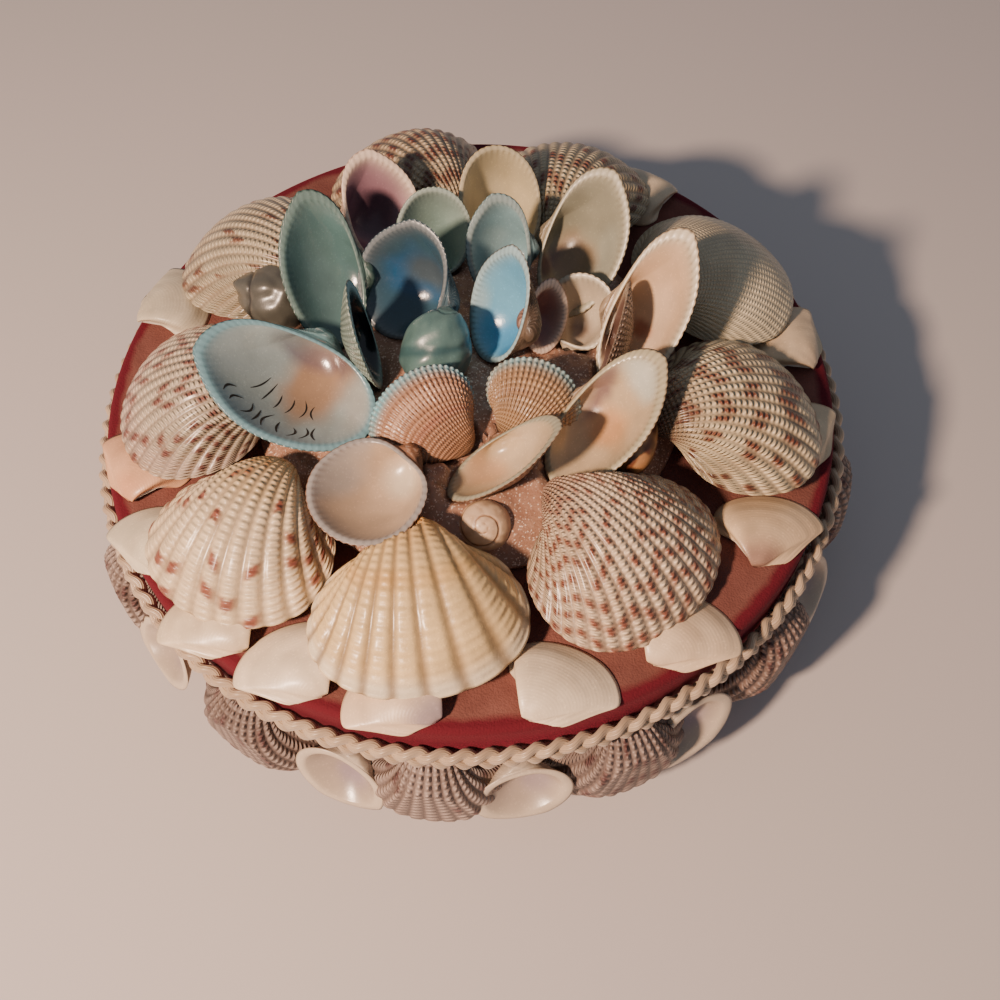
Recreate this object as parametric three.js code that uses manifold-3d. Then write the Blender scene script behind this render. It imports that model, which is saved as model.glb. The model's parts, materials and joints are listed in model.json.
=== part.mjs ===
// A round keepsake box covered with sea shells. A card tray carries a lift-off lid. Cockle shells stand round
// the side, a ring of shells lies on the lid, and a flower of upright shells stands in the middle in glue.
import * as THREE from 'three';
import { mergeVertices } from 'three/addons/utils/BufferGeometryUtils.js';
import Module from 'manifold-3d';

// Box and lid, in millimetres
const LID_DIAMETER = 160;
const BOX_HEIGHT = 46; // from the table to the flat top of the lid
const LID_TOP_THICKNESS = 3;
const LID_SKIRT_HEIGHT = 12;
const LID_SKIRT_WALL = 3;
const LID_EDGE_RADIUS = 1.5;
const LID_PLAY = 1; // all round, between the skirt and the tray
const TRAY_WALL = 2.5;
const TRAY_FLOOR = 3;
const TOUCH_GAP = 0.3; // between pieces that lie against each other
const CUT_GAP = 0.45; // between a shell and one that is cut to fit round it

// Satin braid round the lower part of the skirt
const BRAID_HEIGHT = 6;
const BRAID_DEPTH = 3.4;
const BRAID_DROP = 5.2; // from the top of the lid to the top of the braid

// Mound of glue under the flower
const GLUE_INSET = 33; // from the edge of the lid to the foot of the mound
const GLUE_HEIGHT = 12.5;
const GLUE_FOOT = 1.2;

// Shells
const SHELL_WALL = 1.5;
const SMALL_WALL = 1.1;
const CLAM_RISE = 3.4; // height of the flat clams, which the ring of shells rests on
const LID_CLAM_LENGTH = 25;
const LID_CLAM_WIDTH = 17;
const LID_CLAM_INSET = 9.5; // from the edge of the lid to the middle of a clam
const RING_INSET = 21; // from the edge of the lid to the middle of a ring shell
const RING_SLOPE = 5; // degrees, down towards the edge of the lid
const RING_SIDES = 14;
const PETAL_SIDES = 10;
const CLAM_SIDES = 10;
const SPIRE_SIDES = 8;

// Side of the box
const SIDE_FOOT_GAP = 2; // from the table to the lowest shell
const SIDE_HEAD_GAP = 0.8; // from the skirt of the lid to the shells below it
const BEAK_SHARE = 0.1; // how far a beak stands out past its hinge, as a share of the shell's height
const SIDE_GLUE = 0.8; // from the tray to the rims of the cockles
const SIDE_JOINT_GAP = 2.4; // between neighbouring cockles
const SIDE_CLAM_LENGTH = 22;
const SIDE_CLAM_WIDTH = 15;
const SIDE_CLAM_SLOPE = 62; // degrees, its head leaning in towards the braid
const SIDE_CLAM_STAND = 7.5; // from the tray to the rim of a small clam

const ROUND_SIDES = 36;
const MOUND_SIDES = 16;

const LID_RADIUS = LID_DIAMETER / 2;
const TRAY_RADIUS = LID_RADIUS - LID_SKIRT_WALL - LID_PLAY;
const BRAID_TOP = BOX_HEIGHT - BRAID_DROP;
const BRAID_FOOT = BRAID_TOP - BRAID_HEIGHT;

const wasm = await Module();
wasm.setup();

// Outlines and growth of the kinds of shell. The umbo is the beak where a shell starts to grow.
// coil: how fast the shell tightens towards its umbo, so how flat it is; a low value makes a high dome.
// taper: how much narrower the shell is at its hinge. shift: how far the umbo is off the middle.
// point: how pointed the long end is. shoulder: how square the rim is beside the hinge; 1 is a plain oval.
const FORMS = {
  bold: { coil: 0.62, taper: 0.06, shift: 0.04, point: 0, shoulder: 0.62 },
  cockle: { coil: 0.8, taper: 0.06, shift: 0.04, point: 0, shoulder: 0.62 },
  fan: { coil: 0.8, taper: 0.12, shift: 0, point: 0, shoulder: 0.62 },
  venus: { coil: 0.85, taper: 0.08, shift: 0.1, point: 0.3, shoulder: 0.8 },
  ark: { coil: 0.85, taper: 0, shift: 0.25, point: 0.6, shoulder: 0.8 },
  wedge: { coil: 1.4, taper: 0.35, shift: 0.4, point: 0.4, shoulder: 1.35 },
};

// Puts a geometry's loose triangles together as one closed mesh of shared points.
function welded(geometry) {
  const bare = new THREE.BufferGeometry();
  bare.setAttribute('position', geometry.getAttribute('position'));
  if (geometry.index) bare.setIndex(geometry.index);
  const merged = mergeVertices(bare, 1e-4);
  const index = [];
  for (let i = 0; i < merged.index.count; i += 3) {
    const [a, b, c] = [0, 1, 2].map((k) => merged.index.getX(i + k));
    if (a !== b && b !== c && c !== a) index.push(a, b, c);
  }
  merged.setIndex(index);
  return merged;
}

function toSolid(geometry) {
  const shape = welded(geometry);
  return new wasm.Manifold(new wasm.Mesh({
    numProp: 3,
    vertProperties: new Float32Array(shape.getAttribute('position').array),
    triVerts: new Uint32Array(shape.index.array),
  }));
}

function toGeometry(solid) {
  const mesh = solid.getMesh();
  const geometry = new THREE.BufferGeometry();
  geometry.setAttribute('position', new THREE.BufferAttribute(new Float32Array(mesh.vertProperties), 3));
  geometry.setIndex(new THREE.BufferAttribute(new Uint32Array(mesh.triVerts), 1));
  return geometry;
}

function largestBody(solid) {
  const bodies = solid.decompose();
  return bodies.reduce((best, body) => (body.volume() > best.volume() ? body : best));
}

// The same shape, a little thicker all over: every point moves out along its averaged normal.
function grown(geometry, gap) {
  const shape = welded(geometry);
  shape.computeVertexNormals();
  const place = shape.getAttribute('position');
  const normal = shape.getAttribute('normal');
  for (let i = 0; i < place.count; i += 1) {
    place.setXYZ(
      i,
      place.getX(i) + gap * normal.getX(i),
      place.getY(i) + gap * normal.getY(i),
      place.getZ(i) + gap * normal.getZ(i),
    );
  }
  return shape;
}

// One valve of a bivalve. Its rim lies in the plane z = 0, with the hinge along x at the origin and the
// rim's far side at y = height, and its dome rises in +z. The rim is an oval that is turned about the hinge and
// shrunk by a constant share per angle, which is how a shell grows. The inner face is the outer one, drawn
// in towards the middle of the rim. hand is 1 where the long end lies to the right of the umbo, else -1,
// and a flat shell has fewer rings of points.
function valve({ form, length, height, wall, sides, hand = 1, flat = false }) {
  const { coil, taper, shift, point, shoulder } = FORMS[form];
  const shrink = 1 - wall / (0.5 * height);
  const middle = 0.45 * height;
  const ring = (angle, share) => {
    const size = Math.exp(-coil * angle);
    const points = [];
    for (let i = 0; i < sides; i += 1) {
      const u = (2 * Math.PI * i) / sides;
      const side = Math.cos(u);
      const square = Math.sin(u) < 0 ? shoulder : 1;
      const along = Math.sign(side) * Math.abs(side) ** square;
      const rise = Math.sign(Math.sin(u)) * Math.abs(Math.sin(u)) ** (1 + point * Math.max(0, hand * along));
      const reach = 0.52 + 0.48 * rise;
      const across = 0.5 * length * (along * (1 - taper * (1 - reach)) + hand * shift * (1 - 0.5 * reach));
      const x = size * across;
      const y = size * height * reach * Math.cos(angle);
      const z = size * height * reach * Math.sin(angle);
      points.push([share * x, middle + share * (y - middle), share * z]);
    }
    return points;
  };
  const centre = (points) => [0, 1, 2].map((k) => points.reduce((sum, p) => sum + p[k], 0) / points.length);
  const innerAngles = flat ? [0] : [0.65, 0];
  const outerAngles = flat ? [0, 0.55] : [0, 0.45, 1.25];
  const rings = [
    ...innerAngles.map((angle) => ring(angle, shrink)),
    ...outerAngles.map((angle) => ring(angle, 1)),
  ];
  const points = rings.flat();
  const index = [];
  for (let row = 0; row + 1 < rings.length; row += 1) {
    for (let i = 0; i < sides; i += 1) {
      const a = row * sides + i;
      const b = row * sides + ((i + 1) % sides);
      index.push(a, b, b + sides, a, b + sides, a + sides);
    }
  }
  const innerPole = points.push(centre(ring(flat ? 0.8 : 1.4, shrink))) - 1;
  const outerPole = points.push(centre(ring(flat ? 1.3 : 2.2, 1))) - 1;
  const last = (rings.length - 1) * sides;
  for (let i = 0; i < sides; i += 1) {
    const next = (i + 1) % sides;
    index.push(innerPole, next, i);
    index.push(outerPole, last + i, last + next);
  }
  const geometry = new THREE.BufferGeometry();
  geometry.setAttribute('position', new THREE.Float32BufferAttribute(points.flat(), 3));
  geometry.setIndex(index);
  return geometry;
}

// Sets a shell by the middle of its rim. aim is the compass of the line from hinge to far rim, lean its
// slope, roll a turn about that line (180 shows the hollow), and turn a spin in the rim's own plane.
function setShell(geometry, height, centre, { aim = 0, lean = 0, roll = 0, turn = 0 }) {
  const rad = THREE.MathUtils.degToRad;
  const pose = new THREE.Matrix4().makeTranslation(...centre);
  pose.multiply(new THREE.Matrix4().makeRotationZ(rad(aim - 90)));
  pose.multiply(new THREE.Matrix4().makeRotationX(rad(lean)));
  pose.multiply(new THREE.Matrix4().makeRotationY(rad(roll)));
  pose.multiply(new THREE.Matrix4().makeRotationZ(rad(turn)));
  pose.multiply(new THREE.Matrix4().makeTranslation(0, -0.5 * height, 0));
  return geometry.applyMatrix4(pose);
}

// A snail or cone: a turned spire along y, with a swelling for each whorl.
function spire(length, width, whorls, sides) {
  const steps = 3 * whorls;
  const profile = [new THREE.Vector2(0, 0)];
  for (let i = 1; i < steps; i += 1) {
    const t = i / steps;
    const swell = 1 + 0.08 * Math.sin(2 * Math.PI * t * whorls);
    const radius = 0.5 * width * Math.sin(Math.PI * t ** 0.62) ** 0.8 * swell;
    profile.push(new THREE.Vector2(radius, length * t));
  }
  profile.push(new THREE.Vector2(0, length));
  const geometry = new THREE.LatheGeometry(profile, sides);
  return geometry.translate(0, -0.5 * length, 0);
}

function turned(profile, sides = ROUND_SIDES) {
  const points = profile.map(([r, z]) => new THREE.Vector2(r, z));
  const geometry = new THREE.LatheGeometry(points, sides);
  return geometry.rotateX(Math.PI / 2);
}

// Azimuths are measured round the box from its front, positive to the right.
const onCircle = (radius, azimuth, z) => {
  const angle = THREE.MathUtils.degToRad(azimuth - 90);
  return [radius * Math.cos(angle), radius * Math.sin(angle), z];
};

const group = new THREE.Group();
const lidGroup = new THREE.Group(); // its z = 0 is the flat top of the lid
lidGroup.position.z = BOX_HEIGHT;
group.add(lidGroup);

function addPiece(parent, name, geometry, colour, roughness) {
  const material = new THREE.MeshStandardMaterial({ color: colour, roughness, metalness: 0 });
  const mesh = new THREE.Mesh(geometry, material);
  mesh.name = name;
  parent.add(mesh);
}

// Card tray
const trayTop = BOX_HEIGHT - LID_TOP_THICKNESS - TOUCH_GAP;
addPiece(group, 'box_body', welded(turned([
  [0, 0],
  [TRAY_RADIUS, 0],
  [TRAY_RADIUS, trayTop],
  [TRAY_RADIUS - TRAY_WALL, trayTop],
  [TRAY_RADIUS - TRAY_WALL, TRAY_FLOOR],
  [0, TRAY_FLOOR],
])), '#b79c86', 0.9);

// Velvet-covered lid
const skirtFoot = -LID_SKIRT_HEIGHT;
addPiece(lidGroup, 'lid', welded(turned([
  [0, -LID_TOP_THICKNESS],
  [LID_RADIUS - LID_SKIRT_WALL, -LID_TOP_THICKNESS],
  [LID_RADIUS - LID_SKIRT_WALL, skirtFoot],
  [LID_RADIUS, skirtFoot],
  [LID_RADIUS, -LID_EDGE_RADIUS],
  [LID_RADIUS - 0.3 * LID_EDGE_RADIUS, -0.3 * LID_EDGE_RADIUS],
  [LID_RADIUS - LID_EDGE_RADIUS, 0],
  [0, 0],
])), '#8c2a30', 0.95);

// Braid: a soft strip with a rounded face
const braidInner = LID_RADIUS + TOUCH_GAP;
const braidMiddle = -BRAID_DROP - 0.5 * BRAID_HEIGHT;
addPiece(lidGroup, 'lid_braid', welded(turned([
  [braidInner, braidMiddle - 0.5 * BRAID_HEIGHT],
  [braidInner + 0.7 * BRAID_DEPTH, braidMiddle - 0.42 * BRAID_HEIGHT],
  [braidInner + BRAID_DEPTH, braidMiddle],
  [braidInner + 0.7 * BRAID_DEPTH, braidMiddle + 0.42 * BRAID_HEIGHT],
  [braidInner, braidMiddle + 0.5 * BRAID_HEIGHT],
  [braidInner, braidMiddle - 0.5 * BRAID_HEIGHT],
])), '#d9cbb4', 0.6);

// Shells. Each is cut clear of the ones set before it, and of the glue it stands in.
const boundsOf = (geometry) => new THREE.Box3().setFromBufferAttribute(geometry.getAttribute('position'));

function clearOf(geometry, others) {
  const bounds = boundsOf(geometry);
  let solid = toSolid(geometry);
  for (const other of others) {
    if (other.bounds.intersectsBox(bounds)) solid = solid.subtract(other.solid);
  }
  return largestBody(solid);
}

function keepClear(geometry, others) {
  const room = grown(geometry, CUT_GAP);
  others.push({ bounds: boundsOf(room), solid: toSolid(room).add(toSolid(geometry)) });
}

// The same rooms filled in, for glue that stays outside the hollow of a shell.
const filledIn = (others) => others.map(({ bounds, solid }) => ({ bounds, solid: solid.hull() }));

const laid = [];

function layShell(name, geometry, colour) {
  const solid = clearOf(geometry, laid);
  keepClear(geometry, laid);
  addPiece(lidGroup, name, toGeometry(solid), colour, 0.45);
}

// Flat clams at the edge of the lid, beaks outwards. out is how far a clam's middle stands out past the
// inset, in hundredths of its length, and swing turns it from pointing straight at the centre.
const LID_CLAMS = [
  { azimuth: -9, out: 2, swing: 39, hand: -1, colour: '#cdb7a2' },
  { azimuth: 10, out: 2, swing: -31, hand: 1, colour: '#d6c8b5' },
  { azimuth: 31.5, out: -1, swing: -55, hand: 1, colour: '#d3c2ad' },
  { azimuth: 55, out: -8, swing: -55, hand: 1, colour: '#cdb59b' },
  { azimuth: 74, out: -6, swing: -40, hand: 1, colour: '#c9b8a2' },
  { azimuth: 95, out: -2, swing: -40, hand: 1, colour: '#c4b4a0' },
  { azimuth: 141, out: 0, swing: -30, hand: 1, colour: '#c9bba8' },
  { azimuth: -109, out: 6, swing: 30, hand: -1, colour: '#c3c1b4' },
  { azimuth: -73, out: -4, swing: 40, hand: -1, colour: '#d0a98d' },
  { azimuth: -58, out: 0, swing: 50, hand: -1, colour: '#c9c3b4' },
  { azimuth: -41, out: 4, swing: 61, hand: -1, colour: '#d3c6b3' },
  { azimuth: -26, out: 2, swing: 46, hand: -1, colour: '#d8cbb8' },
];
LID_CLAMS.forEach((row, i) => {
  const radius = LID_RADIUS - LID_CLAM_INSET + (row.out / 100) * LID_CLAM_LENGTH;
  const clam = valve({
    form: 'wedge', length: LID_CLAM_LENGTH, height: LID_CLAM_WIDTH, wall: SMALL_WALL, sides: CLAM_SIDES,
    hand: row.hand, flat: true,
  });
  const centre = onCircle(radius, row.azimuth, TOUCH_GAP);
  const pose = { aim: row.azimuth + 90 + row.swing };
  layShell(`lid_clam_${i + 1}`, setShell(clam, LID_CLAM_WIDTH, centre, pose), row.colour);
});

// The flower: the middle of each rim from the middle of the lid's top, its pose and its size. Lengths are
// hundredths of the flower's radius, which is the radius of the glue it stands in.
const glueRadius = LID_RADIUS - GLUE_INSET;
const flowerSize = (hundredths) => (hundredths / 100) * glueRadius;
const FLOWER = [
  { name: 'petal_inscribed', form: 'ark', at: [-71, -26, 36], length: 83, height: 53,
    aim: 165, lean: 20, roll: 165, turn: -90, hand: -1, colour: '#a9bcc0' },
  { name: 'petal_cup', form: 'cockle', at: [-43, -74, 30], length: 53, height: 49,
    aim: 225, lean: -6, roll: 180, colour: '#c9b3a4' },
  { name: 'petal_small', form: 'ark', at: [10, -62, 28], length: 60, height: 36,
    aim: 8, lean: 34, roll: 162, turn: 90, colour: '#bfa28b' },
  { name: 'petal_streaked', form: 'ark', at: [54, -50, 32], length: 72, height: 40,
    aim: 34, lean: 34, roll: 180, turn: 90, colour: '#c9ab95' },
  { name: 'petal_pink', form: 'ark', at: [77, -1, 40], length: 79, height: 38,
    aim: 48, lean: 46, roll: 180, turn: 90, colour: '#cdb19a' },
  { name: 'petal_white', form: 'ark', at: [52, 41, 42], length: 70, height: 42,
    aim: 52, lean: 48, roll: 180, turn: 90, colour: '#cfc4b2' },
  { name: 'petal_green', form: 'ark', at: [-62, 28, 43], length: 72, height: 38,
    aim: 108, lean: 48, roll: 180, turn: -90, hand: -1, colour: '#93a8a2' },
  { name: 'petal_purple', form: 'ark', at: [-38, 72, 38], length: 57, height: 38,
    aim: 105, lean: 50, roll: 180, turn: 90, colour: '#6b4a55' },
  { name: 'petal_cream', form: 'venus', at: [17, 77, 40], length: 43, height: 55,
    aim: 112, lean: 52, roll: 180, colour: '#d0c09f' },
  { name: 'petal_front_left', form: 'ark', at: [-17, -36, 31], length: 55, height: 42,
    aim: 100, lean: 64, turn: 40, hand: -1, colour: '#a8765c' },
  { name: 'petal_front_right', form: 'ark', at: [26, -30, 33], length: 46, height: 35,
    aim: 93, lean: 64, turn: -35, colour: '#b08a6c' },
  { name: 'petal_dark_blue', form: 'ark', at: [-29, 25, 40], length: 57, height: 46,
    aim: 62, lean: 58, roll: 180, turn: -90, hand: -1, colour: '#4f8396' },
  { name: 'petal_bright_blue', form: 'ark', at: [14, 8, 41], length: 56, height: 38,
    aim: 60, lean: 60, roll: 155, turn: -90, hand: -1, colour: '#5fa6cf' },
  { name: 'petal_ribbed', form: 'ark', at: [-43, -4, 39], length: 51, height: 32,
    aim: 120, lean: 64, roll: 225, turn: -90, hand: -1, colour: '#8aa09a' },
  { name: 'petal_pale_blue', form: 'ark', at: [15, 44, 41], length: 50, height: 32,
    aim: 102, lean: 60, roll: 180, turn: -90, hand: -1, colour: '#9fc0c8' },
  { name: 'petal_mint', form: 'venus', at: [-11, 63, 38], length: 38, height: 45,
    aim: 92, lean: 60, roll: 180, colour: '#a3bcae' },
  { name: 'petal_fan', form: 'fan', at: [53, 19, 32], length: 30, height: 32,
    aim: 60, lean: 50, roll: 180, colour: '#c6baa8' },
  { name: 'petal_dark', form: 'ark', at: [64, -5, 36], length: 47, height: 26,
    aim: 62, lean: 50, roll: 110, turn: 90, colour: '#5d4a42' },
  { name: 'petal_curled', form: 'ark', at: [36, 11, 32], length: 30, height: 19,
    aim: 70, lean: 55, roll: 225, turn: 90, colour: '#a58e84' },
];
for (const row of FLOWER) {
  const [length, height] = [flowerSize(row.length), flowerSize(row.height)];
  const shell = valve({ ...row, length, height, wall: SMALL_WALL, sides: PETAL_SIDES });
  layShell(row.name, setShell(shell, height, row.at.map(flowerSize), row), row.colour);
}

// Snails and a cone: the middle of the spire, and where its tip points.
const SPIRES = [
  { name: 'snail_centre', at: [-13, -5, 36], length: 33, width: 35, whorls: 2,
    aim: 150, lean: 25, colour: '#4b8488' },
  { name: 'snail_grey', at: [-93, 44, 20], length: 34, width: 28, whorls: 3,
    aim: 165, lean: 15, colour: '#77736c' },
  { name: 'snail_beige', at: [6, -84, 14], length: 23, width: 25, whorls: 2,
    aim: 250, lean: 50, colour: '#b99f84' },
  { name: 'cone_orange', at: [74, -49, 23], length: 34, width: 17, whorls: 3,
    aim: 62, lean: 12, colour: '#a5744d' },
];
for (const row of SPIRES) {
  const shell = spire(flowerSize(row.length), flowerSize(row.width), row.whorls, SPIRE_SIDES);
  layShell(row.name, setShell(shell, 0, row.at.map(flowerSize), row), row.colour);
}

// The ring: the azimuth of the middle of each shell, how far it stands out past the inset, its swing from
// straight outwards, and its size. Lengths are hundredths of the room that a shell has along the ring.
const RING = [
  { azimuth: -10, out: 1, swing: 15, length: 109, height: 78, form: 'fan', colour: '#d8c39a' },
  { azimuth: 33, out: -8, swing: 14, length: 104, height: 83, form: 'cockle', colour: '#c3a090' },
  { azimuth: 77, out: -2, swing: 28, length: 104, height: 83, form: 'cockle', colour: '#c9b9a0' },
  { azimuth: 115, out: 5, swing: 6, length: 107, height: 87, form: 'venus', colour: '#c5bda9' },
  { azimuth: 156, out: 2, swing: 10, length: 100, height: 83, form: 'cockle', colour: '#c5b49b' },
  { azimuth: -167, out: 6, swing: 22, length: 100, height: 85, form: 'cockle', colour: '#b7a08a' },
  { azimuth: -127, out: 2, swing: 0, length: 102, height: 87, form: 'cockle', colour: '#c4b29b' },
  { azimuth: -85, out: -2, swing: -8, length: 104, height: 85, form: 'cockle', colour: '#b9aa98' },
  { azimuth: -47, out: 7, swing: 22, length: 97, height: 78, form: 'cockle', colour: '#cdbb9c' },
];
const ringSlope = Math.sin(THREE.MathUtils.degToRad(RING_SLOPE));
const ringPitch = (2 * Math.PI * (LID_RADIUS - RING_INSET)) / RING.length;
const ringSize = (hundredths) => (hundredths / 100) * ringPitch;
RING.forEach((row, i) => {
  const [length, height] = [ringSize(row.length), ringSize(row.height)];
  const shell = valve({ ...row, length, height, wall: SHELL_WALL, sides: RING_SIDES });
  const middle = CLAM_RISE + TOUCH_GAP + 0.5 * height * ringSlope;
  const centre = onCircle(LID_RADIUS - RING_INSET + ringSize(row.out), row.azimuth, middle);
  const pose = { aim: row.azimuth - 90 + row.swing, lean: -RING_SLOPE };
  layShell(`ring_shell_${i + 1}`, setShell(shell, height, centre, pose), row.colour);
});

// Glue: a low mound that fills the room between the shells
const mound = turned([
  [0, TOUCH_GAP],
  [glueRadius, TOUCH_GAP],
  [glueRadius, GLUE_FOOT],
  [0.9 * glueRadius, 0.5 * GLUE_HEIGHT],
  [0.7 * glueRadius, 0.85 * GLUE_HEIGHT],
  [0, GLUE_HEIGHT],
], MOUND_SIDES);
addPiece(lidGroup, 'glue_bed', toGeometry(clearOf(mound, filledIn(laid))), '#8a7068', 0.35);

// Cockles round the side hang by their beaks below the braid, and a small clam lies over each joint, glued
// to the cockle on its left.
const SIDE_AZIMUTHS = [-6.5, 21.5, 50, 79, 109, 139, 169, 200, 231, 262, 293.5, 325];
const SIDE_JOINTS = [5.5, 31, 61, 90.5, 120.5, 150.5, 181, 212, 243, 274.5, 305.5, 338];
const sideRoom = Math.min(BRAID_FOOT, BOX_HEIGHT - LID_SKIRT_HEIGHT) - SIDE_HEAD_GAP - SIDE_FOOT_GAP;
const sideHeight = sideRoom / (1 + BEAK_SHARE);
const sidePitch = (2 * Math.PI * TRAY_RADIUS) / SIDE_AZIMUTHS.length;
const sideCockle = {
  form: 'bold', length: sidePitch - SIDE_JOINT_GAP, height: sideHeight, wall: SHELL_WALL, sides: PETAL_SIDES,
};
const sideClam = {
  form: 'wedge', length: SIDE_CLAM_LENGTH, height: SIDE_CLAM_WIDTH, wall: SMALL_WALL, sides: CLAM_SIDES,
  flat: true,
};
const sideCockles = SIDE_AZIMUTHS.map((azimuth) => {
  const centre = onCircle(TRAY_RADIUS + SIDE_GLUE, azimuth, SIDE_FOOT_GAP + 0.5 * sideHeight);
  return setShell(valve(sideCockle), sideHeight, centre, { aim: azimuth - 90, lean: -90 });
});
SIDE_JOINTS.forEach((joint, i) => {
  const nextIndex = (i + 1) % SIDE_AZIMUTHS.length;
  const centre = onCircle(TRAY_RADIUS + SIDE_CLAM_STAND, joint, SIDE_FOOT_GAP + 0.66 * sideHeight);
  const pose = { aim: joint + 90, lean: SIDE_CLAM_SLOPE, roll: 180, turn: i % 2 ? 12 : -14 };
  const clam = setShell(valve({ ...sideClam, hand: i % 2 ? 1 : -1 }), SIDE_CLAM_WIDTH, centre, pose);
  const next = [];
  keepClear(sideCockles[nextIndex], next);
  const both = toSolid(sideCockles[i]).add(clearOf(clam, next));
  const solid = largestBody(both);
  addPiece(group, `side_cockle_${i + 1}`, toGeometry(solid), '#b5a796', 0.5);
});

export default group;
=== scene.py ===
import json
import math

import bpy
import numpy as np
from mathutils import Matrix, Vector

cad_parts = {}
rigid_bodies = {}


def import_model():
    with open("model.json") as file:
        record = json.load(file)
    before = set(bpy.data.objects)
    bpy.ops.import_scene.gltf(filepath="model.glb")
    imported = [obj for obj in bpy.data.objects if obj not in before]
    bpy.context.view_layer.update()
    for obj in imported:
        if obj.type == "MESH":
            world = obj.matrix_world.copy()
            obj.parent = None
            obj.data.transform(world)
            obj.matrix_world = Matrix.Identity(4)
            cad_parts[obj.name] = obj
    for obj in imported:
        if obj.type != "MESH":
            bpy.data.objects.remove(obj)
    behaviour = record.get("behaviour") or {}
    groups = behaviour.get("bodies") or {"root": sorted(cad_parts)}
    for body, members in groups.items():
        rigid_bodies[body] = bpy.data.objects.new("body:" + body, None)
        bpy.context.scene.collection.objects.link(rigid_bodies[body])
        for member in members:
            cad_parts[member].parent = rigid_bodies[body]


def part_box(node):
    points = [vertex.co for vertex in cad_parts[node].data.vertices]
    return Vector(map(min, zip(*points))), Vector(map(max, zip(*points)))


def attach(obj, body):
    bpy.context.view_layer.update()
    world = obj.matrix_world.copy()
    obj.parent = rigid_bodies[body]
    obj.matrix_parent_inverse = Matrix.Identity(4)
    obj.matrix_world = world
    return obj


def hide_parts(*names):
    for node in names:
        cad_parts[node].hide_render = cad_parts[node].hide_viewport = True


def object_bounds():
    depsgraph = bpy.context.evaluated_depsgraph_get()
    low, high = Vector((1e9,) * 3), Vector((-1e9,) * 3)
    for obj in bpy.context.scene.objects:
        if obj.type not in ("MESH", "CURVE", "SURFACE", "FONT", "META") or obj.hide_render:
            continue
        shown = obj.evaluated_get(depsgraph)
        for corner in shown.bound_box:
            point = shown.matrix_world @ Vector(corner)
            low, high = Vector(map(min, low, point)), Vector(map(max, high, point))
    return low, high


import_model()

# Looks of a round keepsake box covered with sea shells. All lengths are in metres; MM turns millimetres
# into them. The box, lid, braid and glue take their sizes from the frame's solids. The shells are placed one
# by one, close to their solids, and each is a grown surface.
MM = 0.001
cad_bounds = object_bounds()

lid_low, lid_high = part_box("lid")
tray_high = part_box("box_body")[1]
braid_low, braid_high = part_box("lid_braid")
glue_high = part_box("glue_bed")[1]
LID_TOP = lid_high.z
LID_RADIUS = lid_high.x
TRAY_RADIUS = tray_high.x
GLUE_RADIUS = glue_high.x
CLAM_LENGTH = 25 * MM
CLAM_WIDTH = 17 * MM
CLAM_INSET = 9.5 * MM
CLAM_RISE = 3.4 * MM
RING_INSET = 21 * MM
RING_SLOPE = 5.0
TOUCH_GAP = 0.3 * MM
SHELL_WALL = 1.5 * MM
SMALL_WALL = 1.1 * MM
TRAY_WALL = 2.5 * MM
TRAY_FLOOR = 3 * MM
LID_WALL = 3 * MM  # of its top and of its skirt
LID_EDGE = 1.5 * MM
BEVEL = 0.3 * MM
AXIS = 0.5 * MM  # radius at which a turned profile starts
HUNDREDTH = GLUE_RADIUS / 100  # the flower's unit of length

# Kinds of shell: coil is how fast it tightens, taper narrows the hinge, shift moves the beak along,
# point sharpens the long end, shoulder squares the rim beside the hinge, corner draws the hinge to a point
FORMS = {
    "bold": (0.62, 0.06, 0.04, 0.0, 0.62, 1.0),
    "cockle": (0.80, 0.06, 0.04, 0.0, 0.62, 1.0),
    "fan": (0.80, 0.12, 0.00, 0.0, 0.62, 1.0),
    "venus": (0.85, 0.08, 0.10, 0.3, 0.80, 1.0),
    "ark": (0.85, 0.00, 0.25, 0.6, 0.80, 1.0),
    "wedge": (1.40, 0.25, 0.50, 0.3, 1.30, 2.8),
}


def linear(code):
    """Linear RGB of an sRGB hex colour."""
    channels = [int(code[i:i + 2], 16) / 255 for i in (1, 3, 5)]
    return np.array([c / 12.92 if c <= 0.04045 else ((c + 0.055) / 1.055) ** 2.4 for c in channels])


def smooth(low, high, value):
    """Smooth step from 0 at low to 1 at high."""
    t = np.clip((value - low) / (high - low), 0, 1)
    return t * t * (3 - 2 * t)


def blend(under, over, share):
    """under where share is 0, over where it is 1."""
    return under + (over - under) * share[..., None]


def noise(x, y, seed):
    """Value noise, 0 to 1: random values on whole-numbered points, joined by smooth steps."""
    table = np.random.default_rng(seed).random((64, 64))
    i, j = np.floor(x).astype(int), np.floor(y).astype(int)
    a, b = smooth(0, 1, x - i), smooth(0, 1, y - j)
    near = table[i % 64, j % 64] * (1 - a) + table[(i + 1) % 64, j % 64] * a
    far = table[i % 64, (j + 1) % 64] * (1 - a) + table[(i + 1) % 64, (j + 1) % 64] * a
    return near * (1 - b) + far * b


def speckle(x, y, seed):
    """One random value, 0 to 1, for each whole-numbered cell."""
    table = np.random.default_rng(seed).random((64, 64))
    return table[np.floor(x).astype(int) % 64, np.floor(y).astype(int) % 64]


def outward(points):
    """Unit normals of a grid whose columns close: the cross product of its two directions."""
    across = np.roll(points, -1, axis=1) - np.roll(points, 1, axis=1)
    along = np.gradient(points, axis=0)
    normal = np.cross(across, along)
    size = np.linalg.norm(normal, axis=2, keepdims=True)
    return normal / np.maximum(size, 1e-12)


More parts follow.
